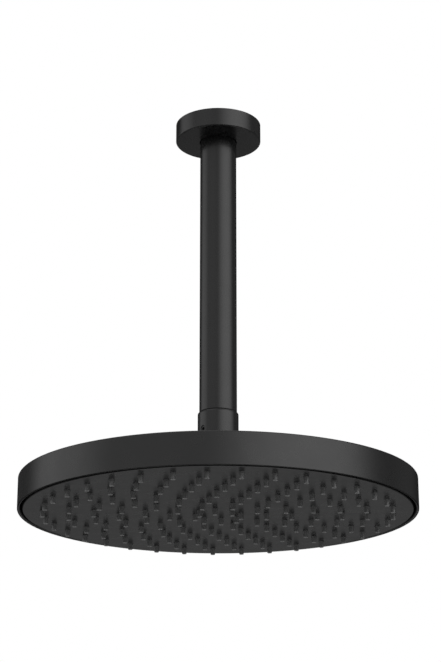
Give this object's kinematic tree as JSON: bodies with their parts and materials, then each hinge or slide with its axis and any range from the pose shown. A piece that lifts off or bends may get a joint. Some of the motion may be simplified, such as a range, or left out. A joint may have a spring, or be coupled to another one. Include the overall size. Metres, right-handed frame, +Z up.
{
  "type": "ceiling rain shower head with arm",
  "caption": "Round, shallow rain shower head with rings of soft nozzles, hung on a ball swivel from a straight round arm with a round ceiling cover and a threaded top.",
  "frame": {"origin": "on the arm's axis, in the plane of the finished ceiling", "axes": "+Z up along the arm towards the ceiling; the head hangs towards -Z; -Y is the side the picture shows, +X is its right"},
  "size_m": [0.25, 0.25, 0.2778],
  "materials": {
    "black_coat": "satin black coat on brass",
    "black_shell": "satin black painted plastic",
    "black_face": "matt black moulded plastic",
    "nozzle_silicone": "matt black silicone",
    "inner_plastic": "plain moulded plastic",
    "seal_rubber": "soft black rubber",
    "foam_rubber": "closed-cell foam",
    "white_nylon": "smooth natural nylon",
    "brass": "machined bare brass",
    "screw_steel": "plain stainless steel",
    "black_screw": "black-oxide steel"
  },
  "bodies": {
    "arm": {"arm_tube": "black_coat", "ceiling_nipple": "brass", "outlet_nipple": "brass", "swivel_stud": "black_coat", "stud_grub_screw": "black_screw", "inlet_washer": "seal_rubber", "inlet_filter": "screw_steel", "flow_restrictor": "white_nylon", "restrictor_ring": "seal_rubber"},
    "cover_grip": {"cover_o_ring": "seal_rubber"},
    "cover": {"ceiling_cover": "black_coat", "ceiling_gasket": "foam_rubber"},
    "upper_liner": {"upper_seat_ring": "white_nylon"},
    "lower_liner": {"lower_seat_ring": "white_nylon"},
    "head": {"ball_seal": "seal_rubber", "swivel_nut": "black_coat", "inlet_neck": "black_coat", "neck_washer": "seal_rubber", "neck_o_ring": "seal_rubber", "head_shell": "black_shell", "chamber_cover": "inner_plastic", "chamber_o_ring": "seal_rubber", "chamber_screws": "screw_steel", "nozzle_mat": "nozzle_silicone", "face_plate": "black_face"}
  },
  "joints": [
    {"name": "cover_slide", "type": "slide", "parent": "arm", "child": "cover_grip", "axis": [0, 0, -1], "range_m": [0, 0.185]},
    {"name": "cover_turn", "type": "hinge", "parent": "cover_grip", "child": "cover", "pos_m": [0, 0, -0.0093], "axis": [0, 0, 1], "continuous": true},
    {"name": "head_tilt_front", "type": "hinge", "parent": "arm", "child": "upper_liner", "pos_m": [0, 0, -0.232], "axis": [1, 0, 0], "range_deg": [-10, 10]},
    {"name": "head_tilt_side", "type": "hinge", "parent": "upper_liner", "child": "lower_liner", "pos_m": [0, 0, -0.232], "axis": [0, 1, 0], "range_deg": [-10, 10]},
    {"name": "head_turn", "type": "hinge", "parent": "lower_liner", "child": "head", "pos_m": [0, 0, -0.232], "axis": [0, 0, 1], "continuous": true}
  ]
}
